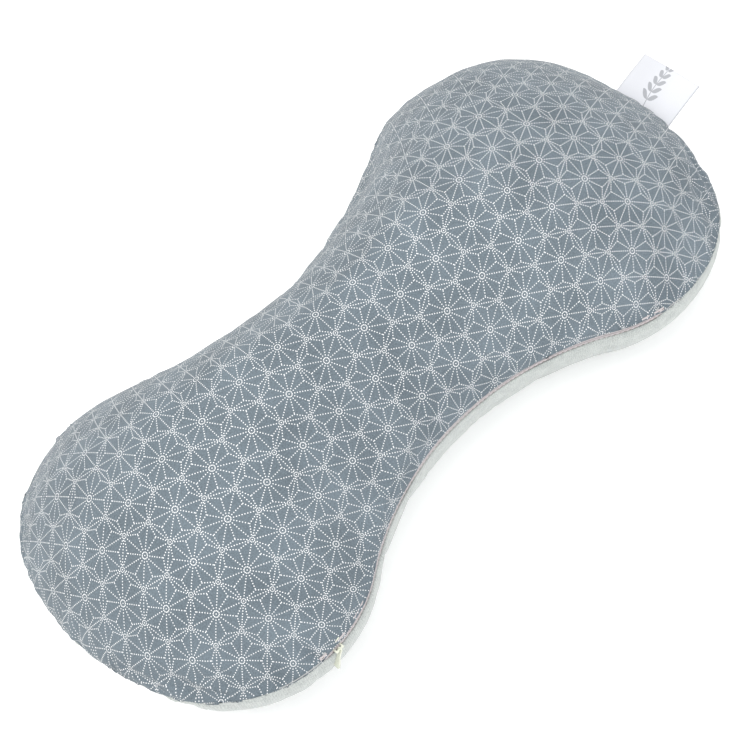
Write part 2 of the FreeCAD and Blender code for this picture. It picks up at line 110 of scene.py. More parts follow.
# The zip pull: an eye, a larger bulb below it, their distance apart, and how far it hangs aside, in degrees.
PULL_EYE = 0.0020
PULL_HOLE = 0.0012
PULL_BULB = 0.0032
PULL_SPAN = 0.0153
PULL_THICK = 0.0012
PULL_LEAN = 30.0
# Its grid: points round the drop and round the section, how the first crowd to the tip, and a squared edge.
PULL_AROUND = 96
PULL_SECTION = 28
PULL_CROWDING = 1.6
PULL_SQUARENESS = 0.45

# The side label: width, length outside the seam and hidden in it, radius of the fold, thickness and lean, in
# degrees, and how deep it waves across and curls at its free end.
LABEL_WIDTH = 0.064
LABEL_REACH = 0.0430
LABEL_HIDDEN = 0.003
LABEL_FOLD = 0.0005
LABEL_THICK = 0.00022
LABEL_LEAN = 30.0
LABEL_WAVE = 0.0016
LABEL_CURL = 0.0050

# The inner cushion: how far it stays inside the cover, half its width, its grid, and its remesh and simulation.
CUSHION_GAP = 0.0075
CUSHION_HALF_WIDTH = 0.13
CUSHION_GRID = (120, 48)
CUSHION_VOXEL = 0.006
CUSHION_PRESSURE = 4.0
CUSHION_CAP = 0.004
SIMULATED_FRAMES = 20

# The relief of the cover. The lobes gather more than the waist does: from how far out, and how soon fully.
LOBE_START = 0.09
LOBE_CHANGE = 0.14
# How far from the seam each effect starts, and how far in it reaches.
SWELL_START = 0.0035
SWELL_REACH = 0.028
PUCKER_START = 0.004
FOLD_START = 0.003
FOLD_START_ZIP = 0.003
FOLD_ZIP_MARGIN = 0.03
LUMP_START = 0.05
WANDER_REACH = 0.022
ZIP_GAP_REACH = 0.011
FLOOR_CLEARANCE = 0.0004

# The print's bow on the flat cloth, towards the sides and towards the ends, and half the width it is told at.
PRINT_HALF_WIDTH = 0.150
PRINT_SIDE_BOW = 0.0273
PRINT_END_BOW = 0.0309

# The camera: which way is right and back for it, what it looks at, how far off it stands, and how far it is
# moved right and up.
CAMERA_RIGHT = (0.701, -0.678, -0.221)
CAMERA_BACK = (-0.257, -0.529, 0.809)
CAMERA_TARGET = (0.0, 0.0, 0.050)
CAMERA_DISTANCE = 1.0334
CAMERA_MOVED = (0.00696, -0.02297)
CAMERA_LENS = 60.55

# The lights: name, place, size, power and colour.
LIGHTS = (
    ("key light", (-0.9, 0.7, 1.9), 1.8, 19.0, (1.0, 0.99, 0.97)),
    ("fill light", (-0.1, -1.8, 1.5), 2.2, 19.0, (0.97, 0.98, 1.0)),
    ("top light", (0.1, 0.1, 2.3), 2.2, 15.0, (1.0, 1.0, 1.0)),
)
WORLD_LIGHT = 0.66
FLOOR_SIDE = 6.0
FLOOR_GLOW = 0.25


# ---------------------------------------------------------------- outline and surfaces


def smooth(t):
    """Rises from 0 to 1 with no corner at either end."""
    t = np.clip(t, 0.0, 1.0)
    return t * t * (3.0 - 2.0 * t)


def corner_circle(side, end):
    """Centre and radius of a corner arc: it touches its end arc from inside, at the corner's own angle."""
    (radius, shift), out = (NEAR_END, -1.0) if end == "near" else (FAR_END, 1.0)
    small, angle = SIDES[side][end]
    angle = math.radians(angle)
    middle = np.array([out * (HALF - radius), shift])
    step = np.array([out * math.cos(angle), side * math.sin(angle)])
    return middle + (radius - small) * step, small


def waist_circle(side):
    """Centre and radius of a hollow waist arc: it touches both corner arcs of its side from outside."""
    near, near_radius = corner_circle(side, "near")
    far, far_radius = corner_circle(side, "far")
    radius = SIDES[side]["waist"]
    span = far - near
    length = float(np.hypot(*span))
    one, two = radius + near_radius, radius + far_radius
    along = (one**2 - two**2 + length**2) / (2.0 * length)
    off = math.sqrt(one**2 - along**2)
    run = span / length
    return near + run * along + side * off * np.array([-run[1], run[0]]), radius


def side_line(x, side):
    """Height in plan of one long side at each x: centre +- root(radius^2 - (x - centre)^2) of the arc there."""
    x = np.asarray(x, float)

    def arc(centre, radius, bulge):
        return centre[1] + bulge * np.sqrt(np.maximum(0.0, radius**2 - (x - centre[0]) ** 2))

    near, near_radius = corner_circle(side, "near")
    far, far_radius = corner_circle(side, "far")
    waist, waist_radius = waist_circle(side)
    near_middle = (NEAR_END[0] - HALF, NEAR_END[1])
    far_middle = (HALF - FAR_END[0], FAR_END[1])
    near_join = near_middle[0] - NEAR_END[0] * math.cos(math.radians(SIDES[side]["near"][1]))
    far_join = far_middle[0] + FAR_END[0] * math.cos(math.radians(SIDES[side]["far"][1]))
    in_join = near[0] + (waist[0] - near[0]) * near_radius / (waist_radius + near_radius)
    out_join = far[0] + (waist[0] - far[0]) * far_radius / (waist_radius + far_radius)
    return np.select(
        [x < near_join, x < in_join, x < out_join, x < far_join],
        [
            arc(near_middle, NEAR_END[0], side),
            arc(near, near_radius, side),
            arc(waist, waist_radius, -side),
            arc(far, far_radius, side),
        ],
        arc(far_middle, FAR_END[0], side),
    )


def end_slope(x):
    """How far the crest has risen at each x: 1 in the middle and 0 at both tips."""
    near = np.clip(1.0 - (x + HALF) / NEAR_SLOPE, 0.0, 1.0)
    far = np.clip(1.0 - (HALF - x) / FAR_SLOPE, 0.0, 1.0)
    return ((1.0 - near**SLOPE_POWER) * (1.0 - far**SLOPE_POWER)) ** (1.0 / SLOPE_ROOT)


def crest(x):
    """Height of the ridge over the seam: near crest to far crest, less a squared sine, times the slope."""
    along = np.clip((x + HALF - NEAR_SLOPE) / (2.0 * HALF - NEAR_SLOPE - FAR_SLOPE), 0.0, 1.0)
    full = NEAR_CREST + (FAR_CREST - NEAR_CREST) * smooth(along)
    return (full - WAIST_DIP * np.sin(math.pi * along) ** 2) * end_slope(x)


def crown(x, v):
    """The top's surface: crest times (1 - |v|^power)^(1/root), with the ridge moved a little to the back."""
    front, back = side_line(x, -1), side_line(x, 1)
    moved = np.where(v > RIDGE, (v - RIDGE) / (1.0 - RIDGE), (v - RIDGE) / (1.0 + RIDGE))
    rise = np.clip(1.0 - np.abs(moved) ** CROWN_POWER, 0.0, 1.0) ** (1.0 / CROWN_ROOT)
    y = (front + back) / 2.0 + v * (back - front) / 2.0
    return np.stack([x, y, SEAM_HEIGHT + crest(x) * rise], -1)


def belly(x, v):
    """The underside: below the seam by a rounded edge's depth at that distance in from it, then flat."""
    front, back = side_line(x, -1), side_line(x, 1)
    y = (front + back) / 2.0 + v * (back - front) / 2.0
    inset = seam_place(x, y)[0]
    turned = np.clip(1.0 - inset / BELLY_WIDTH, 0.0, 1.0) ** BELLY_POWER
    depth = BELLY_DEPTH * np.sqrt(1.0 - turned)
    return np.stack([x, y, SEAM_HEIGHT - np.minimum(depth, SEAM_HEIGHT)], -1)


def seam_loop(steps=720):
    """The seam as a closed line in plan, front side first, with its length so far at each point."""
    x = -HALF * np.cos(np.linspace(0.0, math.pi, steps + 1))
    front = np.stack([x, side_line(x, -1)], -1)
    back = np.stack([x, side_line(x, 1)], -1)[::-1]
    line = np.concatenate([front[:-1], back])
    run = np.concatenate([[0.0], np.cumsum(np.hypot(*np.diff(line, axis=0).T))])
    return line, run


SEAM_LINE, SEAM_RUN = seam_loop()
SEAM_BATCH = 2000


def seam_place(x, y):
    """For each point: its distance in plan from the seam, and how far round the seam the nearest place is.
    The nearest seam point is found first, then the foot on the two short pieces of seam beside it. The points
    are taken in batches, to save memory."""
    shape = np.shape(x)
    points = np.stack([np.ravel(x), np.ravel(y)], -1)
    line, run = SEAM_LINE, SEAM_RUN
    inset = np.empty(len(points))
    place = np.empty(len(points))
    for start in range(0, len(points), SEAM_BATCH):
        part = points[start:start + SEAM_BATCH]
        gap = (part[:, None, 0] - line[None, :, 0]) ** 2 + (part[:, None, 1] - line[None, :, 1]) ** 2
        nearest = np.argmin(gap, axis=1)
        best = np.full(len(part), 1e9)
        where = np.zeros(len(part))
        for first in (np.maximum(nearest - 1, 0), np.minimum(nearest, len(line) - 2)):
            step = line[first + 1] - line[first]
            length = np.maximum(np.hypot(*step.T), 1e-12)
            t = np.clip(((part - line[first]) * step).sum(1) / length**2, 0.0, 1.0)
            far = np.hypot(*(part - line[first] - t[:, None] * step).T)
            closer = far < best
            best = np.where(closer, far, best)
            where = np.where(closer, run[first] + t * length, where)
        inset[start:start + SEAM_BATCH] = best
        place[start:start + SEAM_BATCH] = where
    return inset.reshape(shape), place.reshape(shape)


def seam_point(place):
    """The seam's point in plan, and the direction outwards there, at a length round the seam."""
    x = np.interp(place, SEAM_RUN, SEAM_LINE[:, 0])
    y = np.interp(place, SEAM_RUN, SEAM_LINE[:, 1])
    step = 0.0015
    ahead = np.stack([np.interp(place + step, SEAM_RUN, SEAM_LINE[:, k]) for k in (0, 1)], -1)
    behind = np.stack([np.interp(place - step, SEAM_RUN, SEAM_LINE[:, k]) for k in (0, 1)], -1)
    run = ahead - behind
    run /= np.linalg.norm(run, axis=-1, keepdims=True)
    return np.stack([x, y], -1), np.stack([run[:, 1], -run[:, 0]], -1)


def zip_run():
    """Where the zip starts and ends along the seam, from the angles of its ends on the two front corners."""
    found = []
    for end, angle in zip(("near", "far"), ZIP_ENDS):
        centre, radius = corner_circle(-1, end)
        angle = math.radians(angle)
        found.append(centre + radius * np.array([math.cos(angle), math.sin(angle)]))
    found = np.array(found)
    return seam_place(found[:, 0], found[:, 1])[1]


ZIP_START, ZIP_FINISH = zip_run()


# ---------------------------------------------------------------- mesh helpers


def new_piece(name, points, faces, uv, material, smooth_faces=True):
    """Puts points and faces into a mesh object at the origin, with one UV for each point."""
    mesh = bpy.data.meshes.new(name)
    mesh.from_pydata(np.asarray(points, float).tolist(), [], faces)
    mesh.polygons.foreach_set("use_smooth", [smooth_faces] * len(mesh.polygons))
    if uv is not None:
        corner = np.empty(len(mesh.loops), np.int32)
        mesh.loops.foreach_get("vertex_index", corner)
        layer = mesh.uv_layers.new(name="cloth")
        layer.data.foreach_set("uv", np.asarray(uv, np.float32)[corner].ravel())
    mesh.update()
    piece = bpy.data.objects.new(name, mesh)
    bpy.context.scene.collection.objects.link(piece)
    mesh.materials.append(material)
    return piece


def read_points(mesh):
    """The mesh's points as an array."""
    points = np.empty(len(mesh.vertices) * 3)
    mesh.vertices.foreach_get("co", points)
    return points.reshape(-1, 3)


def write_points(mesh, points):
    """Puts an array's points into the mesh."""
    mesh.vertices.foreach_set("co", np.asarray(points, float).ravel())
    mesh.update()


def read_normals(mesh):
    """The outward directions at the mesh's points as an array."""
    normals = np.empty(len(mesh.vertices) * 3)
    mesh.vertex_normals.foreach_get("vector", normals)
    return normals.reshape(-1, 3)


def grid_faces(rows, columns, around=False, along=False):
    """Four-sided faces between neighbouring grid points, joined round either way if asked."""
    i = np.arange(rows if along else rows - 1)
    j = np.arange(columns if around else columns - 1)
    i, j = np.meshgrid(i, j, indexing="ij")
    next_i, next_j = (i + 1) % rows, (j + 1) % columns
    row, next_row = i * columns, next_i * columns
    face = np.stack([row + j, next_row + j, next_row + next_j, row + next_j], -1).reshape(-1, 4)
    return face.tolist()


def panel_grid(rows, columns):
    """Lengthways and crossways places of a panel's points, closer together towards the seam."""
    x = -HALF * np.cos(np.linspace(0.0, math.pi, rows + 1))
    v = -np.cos(np.linspace(0.0, math.pi, columns + 1))
    return np.meshgrid(x, v, indexing="ij")


def panel_piece(name, surface, rows, columns, facing_up, lay_flat, material):
    """A panel sewn all round: a grid whose first and last rows are one point each, at the two tips."""
    x, v = panel_grid(rows, columns)
    points = surface(x, v)
    flat = lay_flat(x, v, points)
    keep = slice(1, rows)
    wide = columns + 1
    body = points[keep].reshape(-1, 3)
    middle = columns // 2
    points = np.concatenate([points[:1, middle], body, points[-1:, middle]])
    flat = np.concatenate([flat[:1, middle], flat[keep].reshape(-1, 2), flat[-1:, middle]])
    quads = np.array(grid_faces(rows - 1, wide)) + 1
    j = np.arange(columns)
    last = len(points) - 1
    near = np.stack([0 * j, 1 + j, 2 + j], -1)
    base = 1 + (rows - 2) * wide
    far = np.stack([0 * j + last, base + j + 1, base + j], -1)
    faces = quads.tolist() + near.tolist() + far.tolist()
    if not facing_up:
        faces = [face[::-1] for face in faces]
    piece = new_piece(name, points, faces, flat, material)
    row = np.arange(1, last).reshape(rows - 1, wide)
    edge = np.concatenate([[0, last], row[:, 0], row[:, -1]])
    return piece, edge


def swept_strip(name, places, profile, material):
    """A profile carried along the seam: each profile point is (distance inwards, height over the seam)."""
    plan, out = seam_point(places)
    inwards, height = profile[:, 0], profile[:, 1]
    flat = plan[:, None, :] - out[:, None, :] * inwards[None, :, None]
    z = np.broadcast_to(SEAM_HEIGHT + height[None, :], flat.shape[:2])
    points = np.concatenate([flat, z[..., None]], -1)
    step = np.concatenate([[0.0], np.cumsum(np.hypot(*np.diff(profile, axis=0).T))])
    uv = np.stack(np.broadcast_arrays(places[:, None], step[None, :]), -1)
    faces = grid_faces(*points.shape[:2])
    return new_piece(name, points.reshape(-1, 3), faces, uv.reshape(-1, 2), material)


def thicken(piece, thickness):
    """Gives a cloth surface its thickness inwards, so that it is a closed shell."""
    solid = piece.modifiers.new("thickness", "SOLIDIFY")
    solid.thickness = thickness
    solid.offset = -1.0
    solid.use_even_offset = False


def relax(piece, pinned, pressure, cap, growth):
    """Cloth simulation: the pinned points are held, the rest is blown out gently, and none moves past cap."""
    scene = bpy.context.scene
    group = piece.vertex_groups.new(name="sewn edge")
    group.add([int(k) for k in pinned], 1.0, "REPLACE")
    before = read_points(piece.data)
    cloth = piece.modifiers.new("cloth", "CLOTH")
    settings = cloth.settings
    settings.quality = 4
    settings.mass = 0.25
    settings.tension_stiffness = 18.0
    settings.compression_stiffness = 12.0
    settings.shear_stiffness = 6.0
    settings.bending_stiffness = 0.35
    settings.use_pressure = True
    settings.uniform_pressure_force = pressure
    settings.shrink_min = -growth
    settings.vertex_group_mass = group.name
    settings.effector_weights.gravity = 0.0
    cloth.collision_settings.use_collision = False
    cloth.collision_settings.use_self_collision = False
    cloth.point_cache.frame_start = 1
    cloth.point_cache.frame_end = SIMULATED_FRAMES
    for number in range(1, SIMULATED_FRAMES + 1):
        scene.frame_set(number)
    shaped = piece.evaluated_get(bpy.context.evaluated_depsgraph_get())
    after = read_points(shaped.data)
    piece.modifiers.remove(cloth)
    piece.vertex_groups.remove(group)
    scene.frame_set(1)
    moved = after - before
    length = np.maximum(np.linalg.norm(moved, axis=1, keepdims=True), 1e-9)
    write_points(piece.data, before + moved / length * cap * np.tanh(length / cap))


# ---------------------------------------------------------------- node helpers


class Graph:
    """Adds nodes to a material or a node group and joins them."""

    def __init__(self, tree):
        self.tree = tree

    def feed(self, node, values):
        """Fills a node's inputs: a socket is joined to its input, and a plain value is set on it."""
        for key, value in values.items():
            if isinstance(value, bpy.types.NodeSocket):
                self.tree.links.new(value, node.inputs[key])
            else:
                node.inputs[key].default_value = value
        return node

    def add(self, kind, values=None, **settings):
        node = self.tree.nodes.new(kind)
        for key, value in settings.items():
            setattr(node, key, value)
        return self.feed(node, values or {})

    def math(self, operation, *terms, clamp=False):
        values = dict(enumerate(terms))
        return self.add("ShaderNodeMath", values, operation=operation, use_clamp=clamp).outputs[0]

    def split(self, vector):
        node = self.add("ShaderNodeSeparateXYZ", {0: vector})
        return node.outputs[0], node.outputs[1], node.outputs[2]

    def join(self, x, y, z=0.0):
        return self.add("ShaderNodeCombineXYZ", {0: x, 1: y, 2: z}).outputs[0]

    def mix(self, factor, first, second):
        """Mixes two colours: inputs 6 and 7 of the node take them, and output 2 gives the result."""
        return self.add("ShaderNodeMix", {0: factor, 6: first, 7: second}, data_type="RGBA").outputs[2]

    def ramp(self, value, low, high):
        """0 below low and 1 above high, smooth between."""
        values = {"Value": value, "From Min": low, "From Max": high}
        return self.add("ShaderNodeMapRange", values, interpolation_type="SMOOTHSTEP").outputs[0]

    def bump(self, height, distance, strength=1.0):
        values = {"Height": height, "Distance": distance, "Strength": strength}
        return self.add("ShaderNodeBump", values).outputs[0]

    def noise(self, vector, scale, detail=3.0, roughness=0.5):
        values = {"Vector": vector, "Scale": scale, "Detail": detail, "Roughness": roughness}
        return self.add("ShaderNodeTexNoise", values).outputs[0]

    def cloth_uv(self):
        return self.add("ShaderNodeUVMap", uv_map="cloth").outputs[0]

    def place(self):
        return self.add("ShaderNodeTexCoord").outputs["Object"]

    def group(self, tree, values):
        return self.add("ShaderNodeGroup", values, node_tree=tree)


def new_group(name, inputs, outputs):
    """An empty node group with its named sockets, and the graph, input node and output node inside it."""
    tree = bpy.data.node_groups.new(name, "ShaderNodeTree")
    for label, kind, value in inputs:
        socket = tree.interface.new_socket(name=label, in_out="INPUT", socket_type=kind)
        if value is not None:
            socket.default_value = value
    for label in outputs:
        tree.interface.new_socket(name=label, in_out="OUTPUT", socket_type="NodeSocketFloat")
    graph = Graph(tree)
    return graph, graph.add("NodeGroupInput"), graph.add("NodeGroupOutput")


def once(make):
    """The node group or material that a function makes, named after it, made when it is first asked for."""
    name = make.__name__.replace("_", " ")
    store = bpy.data.node_groups if name.startswith("effect") else bpy.data.materials
    return store.get(name) or make(name)


def effect_weave(name):
    """Over-and-under threads: a sine each way, multiplied into a chequer, and a slightly uneven yarn."""
    graph, given, result = new_group(
        name,
        [("Vector", "NodeSocketVector", None), ("Threads", "NodeSocketFloat", 2000.0)],
        ["Height", "Shade"],
    )
    m = graph.math
    place = given.outputs["Vector"]
    x, y, _ = graph.split(place)
    turns = m("MULTIPLY", given.outputs["Threads"], math.pi)
    over = m("MULTIPLY", m("SINE", m("MULTIPLY", x, turns)), m("SINE", m("MULTIPLY", y, turns)))
    yarn = graph.noise(place, 760.0, 2.0, 0.75)
    broad = graph.noise(place, 22.0, 2.0, 0.5)
    graph.feed(result, {
        "Height": m("MULTIPLY_ADD", over, 0.5, 0.5),
        "Shade": m("MULTIPLY_ADD", broad, 0.35, m("MULTIPLY", yarn, 0.65)),
    })
    return graph.tree


def effect_stitched_stars(name):
    """Twelve-rayed stars on a three-way lattice, drawn as dotted lines. The place is folded into one
    thirty-degree wedge of one star, where only four straight lines are left to draw."""
    graph, given, result = new_group(
        name,
        [
            ("Vector", "NodeSocketVector", None),
            ("Spacing", "NodeSocketFloat", 0.0386),
            ("Dot", "NodeSocketFloat", 0.00046),
        ],
        ["Mask"],
    )
    m = graph.math
    spacing, dot = given.outputs["Spacing"], given.outputs["Dot"]
    x, y, _ = graph.split(given.outputs["Vector"])
    tall = m("MULTIPLY", spacing, math.sqrt(3.0))

    def nearest(value, step, shift):
        moved = m("SUBTRACT", value, m("MULTIPLY", step, shift))
        return m("SUBTRACT", moved, m("MULTIPLY", step, m("ROUND", m("DIVIDE", moved, step))))

    def square_sum(one, two):
        return m("ADD", m("MULTIPLY", one, one), m("MULTIPLY", two, two))

    one = nearest(x, spacing, 0.0), nearest(y, tall, 0.0)
    two = nearest(x, spacing, 0.5), nearest(y, tall, 0.5)
    pick = m("LESS_THAN", square_sum(*one), square_sum(*two))
    star_x, star_y = (m("MULTIPLY_ADD", pick, m("SUBTRACT", a, b), b) for a, b in zip(one, two))
    radius = m("SQRT", square_sum(star_x, star_y))
    angle = m("ARCTAN2", star_y, star_x)
    sixth = math.pi / 3.0
    whole = m("MULTIPLY", m("ROUND", m("DIVIDE", angle, sixth)), sixth)
    folded = m("ABSOLUTE", m("SUBTRACT", angle, whole))
    along = m("MULTIPLY", radius, m("COSINE", folded))
    up = m("MULTIPLY", radius, m("SINE", folded))
    pitch = m("MULTIPLY", spacing, STITCH_PITCH)
    hub = m("MULTIPLY", spacing, HUB_RADIUS)

    def dotted(off, run):
        """Distance to the nearest dot of a line: off sideways, and run along it from its first dot."""
        step = m("SUBTRACT", run, m("MULTIPLY", pitch, m("ROUND", m("DIVIDE", run, pitch))))
        return m("SQRT", square_sum(off, step))

    def along_line(start, run_x, run_y):
        """Distance sideways and distance along, for a line from a point on the wedge's lower edge."""
        from_x = m("SUBTRACT", along, m("MULTIPLY", spacing, start))
        run = m("ADD", m("MULTIPLY", from_x, run_x), m("MULTIPLY", up, run_y))
        off = m("ABSOLUTE", m("SUBTRACT", m("MULTIPLY", from_x, run_y), m("MULTIPLY", up, run_x)))
        return off, run

    knot_up = 0.5 / math.sqrt(3.0)
    slant = math.hypot(0.5 - BEND, knot_up)
    long_ray = along_line(0.0, math.cos(sixth / 2.0), math.sin(sixth / 2.0))
    short_ray = along_line(0.0, 1.0, 0.0)
    side = along_line(BEND, (0.5 - BEND) / slant, knot_up / slant)
    middle = along_line(0.5, 0.0, 1.0)
    past = m("MAXIMUM", m("SUBTRACT", short_ray[1], m("MULTIPLY", spacing, BEND)), 0.0)
    dots = dotted(long_ray[0], m("SUBTRACT", long_ray[1], hub))
    for line in (
        m("ADD", dotted(short_ray[0], m("SUBTRACT", short_ray[1], hub)), past),
        dotted(*side),
        dotted(*middle),
    ):
        dots = m("MINIMUM", dots, line)
    knot_x = m("SUBTRACT", along, m("MULTIPLY", spacing, 0.5))
    knot_y = m("SUBTRACT", up, m("MULTIPLY", spacing, knot_up))
    centre = m("MINIMUM", radius, m("SQRT", square_sum(knot_x, knot_y)))
    clear = m("SUBTRACT", hub, m("MULTIPLY", pitch, HUB_CLEAR))
    dots = m("MINIMUM", m("ADD", dots, m("LESS_THAN", centre, clear)), centre)
    thin = graph.ramp(dots, m("MULTIPLY", dot, DOT_EDGE[0]), m("MULTIPLY", dot, DOT_EDGE[1]))
    graph.feed(result, {"Mask": m("SUBTRACT", 1.0, thin)})
    return graph.tree


def new_material(name):
    """An empty material, the graph that fills it, its shader, and the colours to use."""
    material = bpy.data.materials.new(name)
    material.use_nodes = True
    shader = material.node_tree.nodes["Principled BSDF"]
    return material, Graph(material.node_tree), shader, bpy.context.scene.pillow_colours


def colour(value, factor=1.0):
    """A colour made lighter or darker by a factor."""
    return (value[0] * factor, value[1] * factor, value[2] * factor, 1.0)


def fill_shader(graph, shader, **inputs):
    """Fills the shader's inputs by name, with _ for each space."""
    graph.feed(shader, {key.replace("_", " "): value for key, value in inputs.items()})


def printed_cotton(name):
    """Slate cotton, plain woven, printed all over with rows of small white stitches that make stars."""
    material, graph, shader, look = new_material(name)
    uv = graph.cloth_uv()
    turned = graph.add("ShaderNodeMapping", {
        "Vector": uv,
        "Rotation": (0.0, 0.0, math.radians(look.star_turn)),
        "Location": (look.star_shift[0], look.star_shift[1], 0.0),
    }).outputs[0]
    stars = graph.group(
        once(effect_stitched_stars),
        {"Vector": turned, "Spacing": look.star_spacing, "Dot": look.dot_radius},
    ).outputs["Mask"]
    weave = graph.group(once(effect_weave), {"Vector": uv, "Threads": 2400.0})
    ground = graph.mix(weave.outputs["Shade"], colour(look.cotton, 0.10), colour(look.cotton, 1.95))
    worn = graph.math("MULTIPLY_ADD", graph.noise(uv, 420.0, 2.0, 0.6), 0.5, 0.70, clamp=True)
    ink = graph.math("MULTIPLY", stars, worn)
    relief = graph.math("MULTIPLY_ADD", stars, 0.4, weave.outputs["Height"])
    fill_shader(
        graph, shader,
        Base_Color=graph.mix(ink, ground, colour(look.stitch)),
        Normal=graph.bump(relief, 0.00008, 0.5),
        Roughness=0.86,
        Sheen_Weight=0.18,
        Sheen_Roughness=0.5,
        Specular_IOR_Level=0.2,
    )
    return material


def marl_jersey(name):
    """Light grey knit: columns of small vee-shaped loops in a yarn flecked with darker fibres, with painted
    shade that darkens the colour a little between the columns.
    """
    material, graph, shader, look = new_material(name)
    m = graph.math
    uv = graph.cloth_uv()
    x, y, _ = graph.split(uv)
    wale, course = 0.0016, 0.0013
    column = m("PINGPONG", x, wale / 2.0)
    lean = m("MULTIPLY_ADD", column, 1.1, y)
    loop = m("SINE", m("MULTIPLY", lean, 2.0 * math.pi / course))
    rib = m("SINE", m("MULTIPLY", x, 2.0 * math.pi / wale))
    stretched = graph.join(m("MULTIPLY", x, 1.8), y)
    fleck = graph.noise(stretched, 640.0, 3.0, 0.7)
    cloud = graph.noise(uv, 130.0, 2.0, 0.5)
    height = m("MULTIPLY_ADD", rib, 0.16, m("MULTIPLY_ADD", fleck, 0.9, m("MULTIPLY", loop, 0.16)))
    mottle = m("MULTIPLY_ADD", fleck, 1.5, m("MULTIPLY_ADD", cloud, 0.35, -0.43))
    # The colour follows the yarn's own flecks and clouds, plus a little of the rib as painted shade: lighter on
    # each column's crest, darker between columns.
    light = graph.ramp(m("MULTIPLY_ADD", rib, 0.05, mottle), 0.2, 0.75)
    fill_shader(
        graph, shader,
        Base_Color=graph.mix(light, colour(look.jersey_dark), colour(look.jersey_light)),
        Normal=graph.bump(height, 0.00022, 0.7),
        Roughness=0.92,
        Sheen_Weight=0.3,
        Specular_IOR_Level=0.2,
    )
    return material


def zip_tape(name):
    """Pinkish grey woven tape with a line of brown machine stitches along it."""
    material, graph, shader, look = new_material(name)
    m = graph.math
    uv = graph.cloth_uv()
    x, y, _ = graph.split(uv)
    weave = graph.group(once(effect_weave), {"Vector": uv, "Threads": 2800.0})
    ground = graph.mix(weave.outputs["Shade"], colour(look.tape, 0.84), colour(look.tape, 1.14))
    stitch_pitch, stitch_half = 0.0042, 0.00028
    row = m("ABSOLUTE", m("SUBTRACT", y, look.tape_stitch))
    dash = m("SINE", m("MULTIPLY", x, 2.0 * math.pi / stitch_pitch))
    uneven = m("MULTIPLY_ADD", graph.noise(graph.join(x, 0.0), 90.0, 1.0), 1.4, -0.5)
    there = m("MULTIPLY", graph.ramp(m("ADD", dash, uneven), 0.1, 0.4), m("LESS_THAN", row, stitch_half))
    fill_shader(
        graph, shader,
        Base_Color=graph.mix(there, ground, colour(look.tape_thread)),
        Normal=graph.bump(weave.outputs["Height"], 0.0001, 0.6),
        Roughness=0.7,
        Sheen_Weight=0.1,
    )
    return material


def plain_finish(name, base, roughness, metallic=0.0, scale=400.0, spread=0.12, bump=0.00004, coat=0.0):
    """A moulded or cast finish: slightly uneven colour, gloss and surface."""
    material, graph, shader, look = new_material(name)
    base = getattr(look, base)
    uneven = graph.noise(graph.place(), scale, 3.0, 0.55)
    fill_shader(
        graph, shader,
        Base_Color=graph.mix(uneven, colour(base, 1.0 - spread), colour(base, 1.0 + spread)),
        Roughness=graph.math("MULTIPLY_ADD", uneven, 0.2, roughness - 0.1),
        Normal=graph.bump(uneven, bump, 0.5),
        Metallic=metallic,
        Coat_Weight=coat,
    )
    return material


def zip_coil(name):
    return plain_finish(name, "tape", 0.4)


def zip_enamel(name):
    """Cream enamel over cast metal."""
    return plain_finish(name, "pull", 0.3, scale=700.0, spread=0.06, bump=0.00003, coat=0.4)


def stop_metal(name):
    return plain_finish(name, "stop", 0.35, metallic=0.9)


def sewing_thread(name):
    """Twisted thread: fine slanting ply lines round a grey yarn, made as bumps and as painted shade, darker in
    the grooves of the twist and lighter on its ridges.
    """
    material, graph, shader, look = new_material(name)
    m = graph.math
    x, y, z = graph.split(graph.place())
    twist = m("SINE", m("MULTIPLY", m("ADD", m("ADD", x, y), z), 9000.0))
    # Painted shade and highlight: the colour follows the twist, darker in its grooves and lighter on its
    # ridges.
    shade = m("MULTIPLY_ADD", twist, 0.25, 0.5)
    fill_shader(
        graph, shader,
        Base_Color=graph.mix(shade, colour(look.seam_thread, 0.8), colour(look.seam_thread, 1.2)),
        Normal=graph.bump(twist, 0.00005, 0.6),
        Roughness=0.75,
    )
    return material


